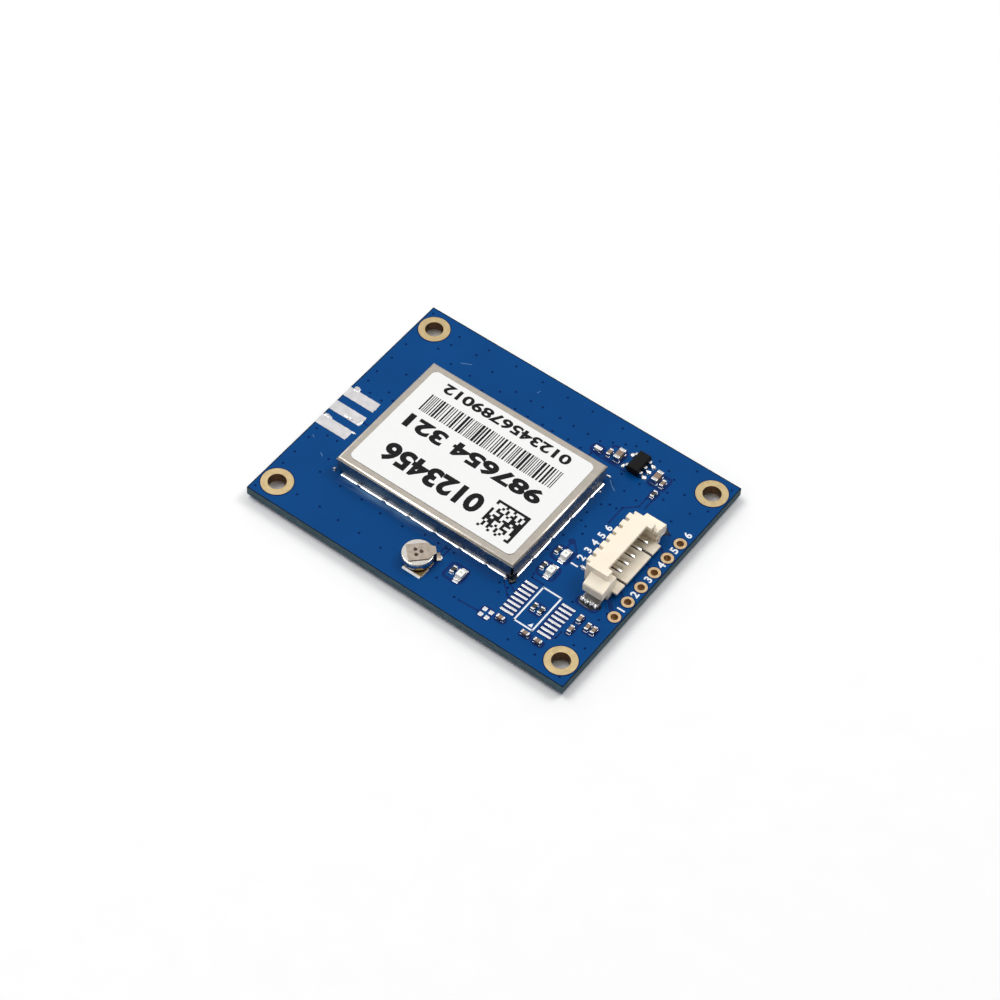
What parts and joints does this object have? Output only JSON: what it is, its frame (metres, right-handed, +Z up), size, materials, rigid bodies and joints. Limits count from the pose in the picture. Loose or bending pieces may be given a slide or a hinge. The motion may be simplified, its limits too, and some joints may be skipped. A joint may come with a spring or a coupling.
{
  "type": "satellite positioning module",
  "caption": "Flat blue circuit board with a labelled metal shield can, a side-entry wire connector, a backup cell, bare antenna pads and corner mounting holes.",
  "frame": {"origin": "middle of the board's underside", "axes": "+X towards the edge with the wire holes, away from the antenna pads; +Y towards the edge by the regulator; +Z up, out of the side with the parts"},
  "size_m": [0.044, 0.0344, 0.0047],
  "materials": {
    "board_laminate": "blue gloss lacquer over glass-fibre laminate",
    "gold_plating": "flat gold plating",
    "tinned_copper": "dull tinned copper",
    "solder": "bright solder",
    "shield_metal": "satin nickel-silver sheet",
    "label_paper": "white printed paper",
    "lid_metal": "plated lid",
    "cell_steel": "satin stainless steel",
    "gasket_plastic": "dark plastic",
    "tab_metal": "satin tab metal",
    "connector_plastic": "ivory moulded plastic",
    "contact_metal": "bright tin plating",
    "moulded_plastic": "black moulding compound",
    "brown_ceramic": "brown ceramic",
    "black_ceramic": "black glaze on ceramic",
    "white_ceramic": "white ceramic",
    "light_plastic": "clear milky plastic"
  },
  "bodies": {
    "root": {"circuit_board": "board_laminate", "mounting_hole_rings": "gold_plating", "wire_hole_rings": "gold_plating", "antenna_edge_pads": "tinned_copper", "empty_chip_pads": "tinned_copper", "spare_pads": "tinned_copper", "shield_can": "shield_metal", "shield_solder": "solder", "shield_label": "label_paper", "receiver_chip": "moulded_plastic", "reference_oscillator": "lid_metal", "clock_crystal": "lid_metal", "band_filter": "lid_metal", "input_amplifier": "moulded_plastic", "cell_can": "cell_steel", "cell_gasket": "gasket_plastic", "cell_cap": "cell_steel", "cell_top_tab": "tab_metal", "cell_bottom_tab": "tab_metal", "connector_housing": "connector_plastic", "contact_1": "contact_metal", "contact_2": "contact_metal", "contact_3": "contact_metal", "contact_4": "contact_metal", "contact_5": "contact_metal", "contact_6": "contact_metal", "solder_tab_left": "contact_metal", "solder_tab_right": "contact_metal", "regulator_body": "moulded_plastic", "regulator_leads": "contact_metal", "supply_capacitor_in": "brown_ceramic", "supply_capacitor_out": "brown_ceramic", "filter_capacitor_in": "brown_ceramic", "filter_capacitor_out": "brown_ceramic", "supply_resistor": "black_ceramic", "supply_inductor": "white_ceramic", "light_1": "light_plastic", "light_2": "light_plastic", "light_3": "light_plastic", "light_resistor_1": "black_ceramic", "light_resistor_2": "black_ceramic", "light_resistor_3": "black_ceramic", "link_resistor_1": "black_ceramic", "link_resistor_2": "black_ceramic", "chip_capacitor_1": "brown_ceramic", "chip_capacitor_2": "brown_ceramic", "chip_capacitor_3": "brown_ceramic", "chip_capacitor_4": "brown_ceramic", "chip_capacitor_5": "brown_ceramic", "chip_capacitor_6": "brown_ceramic", "chip_capacitor_7": "brown_ceramic"}
  },
  "joints": []
}
